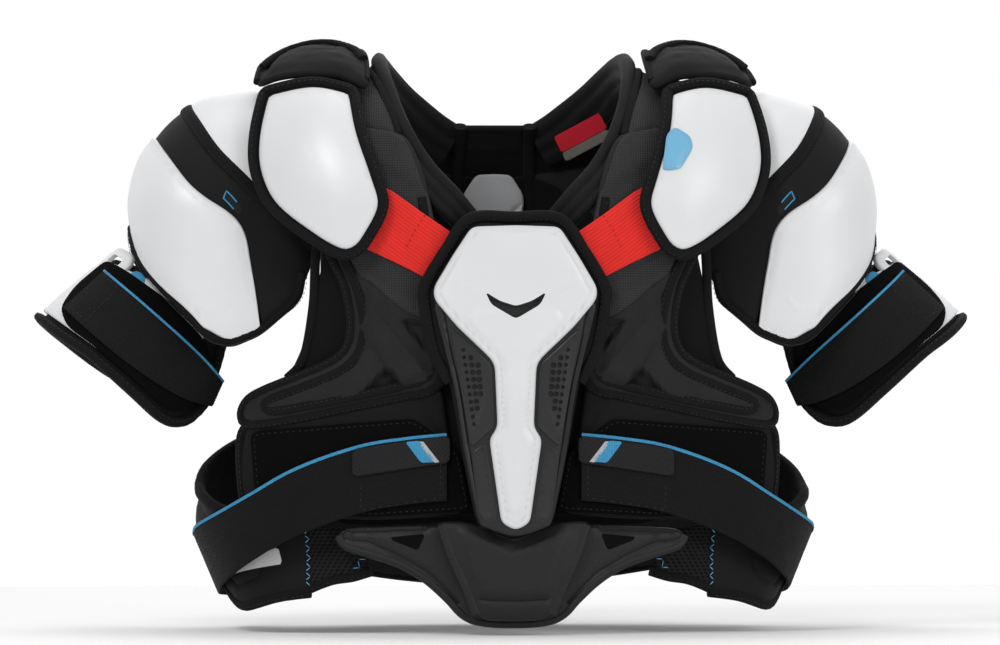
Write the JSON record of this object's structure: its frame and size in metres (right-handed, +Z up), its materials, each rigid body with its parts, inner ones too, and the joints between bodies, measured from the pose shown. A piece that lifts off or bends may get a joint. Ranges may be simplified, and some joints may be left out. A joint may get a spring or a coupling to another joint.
{
  "type": "ice hockey shoulder pads",
  "caption": "Ice hockey shoulder pads with a plated sternum guard, belly pad, epaulets, shoulder caps, upper-arm guards, collar and elastic side straps.",
  "frame": {"origin": "middle of the neck opening, level with the top of the sternum guard, half way between chest and back", "axes": "+X to the wearer's left, -Y to the front, +Z up"},
  "size_m": [0.6528, 0.268, 0.4111],
  "materials": {
    "back_fabric": "black cloth over moulded foam",
    "belly_leather": "black grained synthetic leather with raised strips",
    "binding_black": "black padded binding cloth",
    "chest_fabric": "black moulded foam under textured cloth",
    "grey_plastic": "satin dark grey moulded plastic",
    "inner_pad": "light grey cloth pad",
    "label_red": "plain red woven label with a grey strip",
    "lining": "brushed black lining cloth",
    "loop_pile": "black loop-pile fastener",
    "mesh": "black stretch mesh with light blue zigzag stitches",
    "red_elastic": "ribbed red elastic",
    "rib_fabric": "dark grey woven cloth over foam",
    "sternum_fabric": "black cloth over foam",
    "strap_elastic": "black elastic with a blue edge line",
    "tab_woven": "dark woven tab with a slanted blue stripe",
    "white_plastic": "satin white moulded plastic"
  },
  "bodies": {
    "harness": {"chest_liner_left": "lining", "chest_liner_right": "lining", "chest_pad_left": "chest_fabric", "chest_pad_right": "chest_fabric", "rib_panel_left": "rib_fabric", "rib_panel_right": "rib_fabric", "loop_patch_left": "loop_pile", "loop_patch_right": "loop_pile", "yoke_left": "chest_fabric", "yoke_right": "chest_fabric", "collar_left": "binding_black", "collar_right": "binding_black", "sternum_strap_left": "red_elastic", "sternum_strap_right": "red_elastic", "sternum_base": "sternum_fabric", "sternum_foam": "sternum_fabric", "sternum_frame": "grey_plastic", "sternum_plate": "white_plastic", "sternum_insert_left": "grey_plastic", "sternum_insert_right": "grey_plastic", "back_panel": "back_fabric", "back_liner": "lining", "spine_guard": "grey_plastic", "inner_spine_pad": "inner_pad", "back_collar": "binding_black", "size_label": "label_red", "side_wing_left": "back_fabric", "side_wing_right": "back_fabric", "side_mesh_left": "mesh", "side_mesh_right": "mesh", "strap_anchor_left": "strap_elastic", "strap_anchor_right": "strap_elastic"},
    "belly_guard": {"belly_base": "back_fabric", "belly_pad": "belly_leather"},
    "epaulet_left": {"epaulet_pad_left": "chest_fabric", "epaulet_plate_left": "white_plastic", "epaulet_band_left": "binding_black"},
    "shoulder_cap_left": {"cap_liner_left": "lining", "cap_band_left": "binding_black", "cap_crown_left": "white_plastic", "cap_shell_left": "white_plastic"},
    "arm_guard_left": {"arm_hanger_left": "strap_elastic", "arm_pad_left": "chest_fabric", "arm_shell_left": "white_plastic"},
    "arm_strap_band_left": {"arm_strap_left": "strap_elastic"},
    "side_strap_left": {"torso_strap_left": "strap_elastic", "strap_tab_left": "tab_woven"},
    "epaulet_right": {"epaulet_pad_right": "chest_fabric", "epaulet_plate_right": "white_plastic", "epaulet_band_right": "binding_black"},
    "shoulder_cap_right": {"cap_liner_right": "lining", "cap_band_right": "binding_black", "cap_crown_right": "white_plastic", "cap_shell_right": "white_plastic"},
    "arm_guard_right": {"arm_hanger_right": "strap_elastic", "arm_pad_right": "chest_fabric", "arm_shell_right": "white_plastic"},
    "arm_strap_band_right": {"arm_strap_right": "strap_elastic"},
    "side_strap_right": {"torso_strap_right": "strap_elastic", "strap_tab_right": "tab_woven"}
  },
  "joints": [
    {"name": "belly_flex", "type": "hinge", "parent": "harness", "child": "belly_guard", "pos_m": [0, -0.108, -0.217], "axis": [1, 0, 0], "range_deg": [-10, 15], "stiffness_Nm_per_rad": 0.8},
    {"name": "cap_lift_left", "type": "hinge", "parent": "harness", "child": "shoulder_cap_left", "pos_m": [0.15, 0, 0.084], "axis": [0, -1, 0], "range_deg": [0, 35], "stiffness_Nm_per_rad": 0.5},
    {"name": "epaulet_lift_left", "type": "hinge", "parent": "harness", "child": "epaulet_left", "pos_m": [0.097, -0.05, 0.06], "axis": [0, -0.7071, -0.7071], "range_deg": [0, 12.25]},
    {"name": "arm_guard_swing_left", "type": "hinge", "parent": "shoulder_cap_left", "child": "arm_guard_left", "pos_m": [0.183, 0, 0.006], "axis": [0, -1, 0], "range_deg": [-12, 3.5], "stiffness_Nm_per_rad": 3},
    {"name": "arm_strap_peel_left", "type": "hinge", "parent": "arm_guard_left", "child": "arm_strap_band_left", "pos_m": [0.296, -0.0315, -0.04787], "axis": [-0.5878, 0, 0.809], "range_deg": [0, 50]},
    {"name": "side_strap_peel_left", "type": "hinge", "parent": "harness", "child": "side_strap_left", "pos_m": [0.222, 0.01, -0.24], "axis": [0, 0, 1], "range_deg": [0, 75]},
    {"name": "cap_lift_right", "type": "hinge", "parent": "harness", "child": "shoulder_cap_right", "pos_m": [-0.15, 0, 0.084], "axis": [0, 1, 0], "range_deg": [0, 35], "stiffness_Nm_per_rad": 0.5},
    {"name": "epaulet_lift_right", "type": "hinge", "parent": "harness", "child": "epaulet_right", "pos_m": [-0.097, -0.05, 0.06], "axis": [0, 0.7071, 0.7071], "range_deg": [0, 12.25]},
    {"name": "arm_guard_swing_right", "type": "hinge", "parent": "shoulder_cap_right", "child": "arm_guard_right", "pos_m": [-0.183, 0, 0.006], "axis": [0, 1, 0], "range_deg": [-12, 3.5], "stiffness_Nm_per_rad": 3},
    {"name": "arm_strap_peel_right", "type": "hinge", "parent": "arm_guard_right", "child": "arm_strap_band_right", "pos_m": [-0.296, -0.0315, -0.04787], "axis": [-0.5878, 0, -0.809], "range_deg": [0, 50]},
    {"name": "side_strap_peel_right", "type": "hinge", "parent": "harness", "child": "side_strap_right", "pos_m": [-0.222, 0.01, -0.24], "axis": [0, 0, -1], "range_deg": [0, 75]}
  ],
  "couplings": [
    {"joint": "epaulet_lift_left", "follows": "cap_lift_left", "ratio": 0.3},
    {"joint": "epaulet_lift_right", "follows": "cap_lift_right", "ratio": 0.3}
  ]
}
